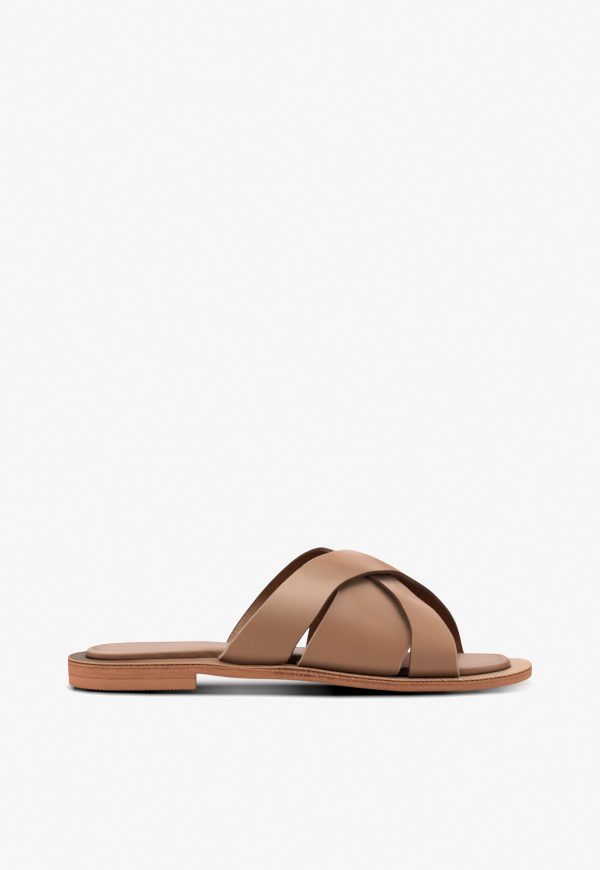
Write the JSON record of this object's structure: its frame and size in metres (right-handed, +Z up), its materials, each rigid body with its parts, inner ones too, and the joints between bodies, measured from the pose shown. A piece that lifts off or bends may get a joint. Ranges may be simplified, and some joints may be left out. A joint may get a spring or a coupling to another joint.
{
  "type": "slide sandal",
  "caption": "Slide sandal for the right foot: crossed leather straps over an open toe and heel, padded leather insole, stitched leather sole and low heel block",
  "frame": {"origin": "centre of the bounding box in plan, on the floor that the sandal stands on", "axes": "+X points from heel to toe, +Y to the inner side of the foot, +Z up"},
  "size_m": [0.2558, 0.084, 0.0733],
  "materials": {
    "strap_leather": "satin brown leather with a fine grain, suede-like on its inner face",
    "insole_leather": "smooth satin leather over padding",
    "sole_leather": "polished cut edge with fine streaks along it",
    "tan_rubber": "matt"
  },
  "bodies": {
    "root": {"heel_top_piece": "tan_rubber", "heel_lift": "sole_leather", "outsole": "sole_leather", "midsole": "sole_leather", "insole": "insole_leather", "upper": "strap_leather"}
  },
  "joints": []
}
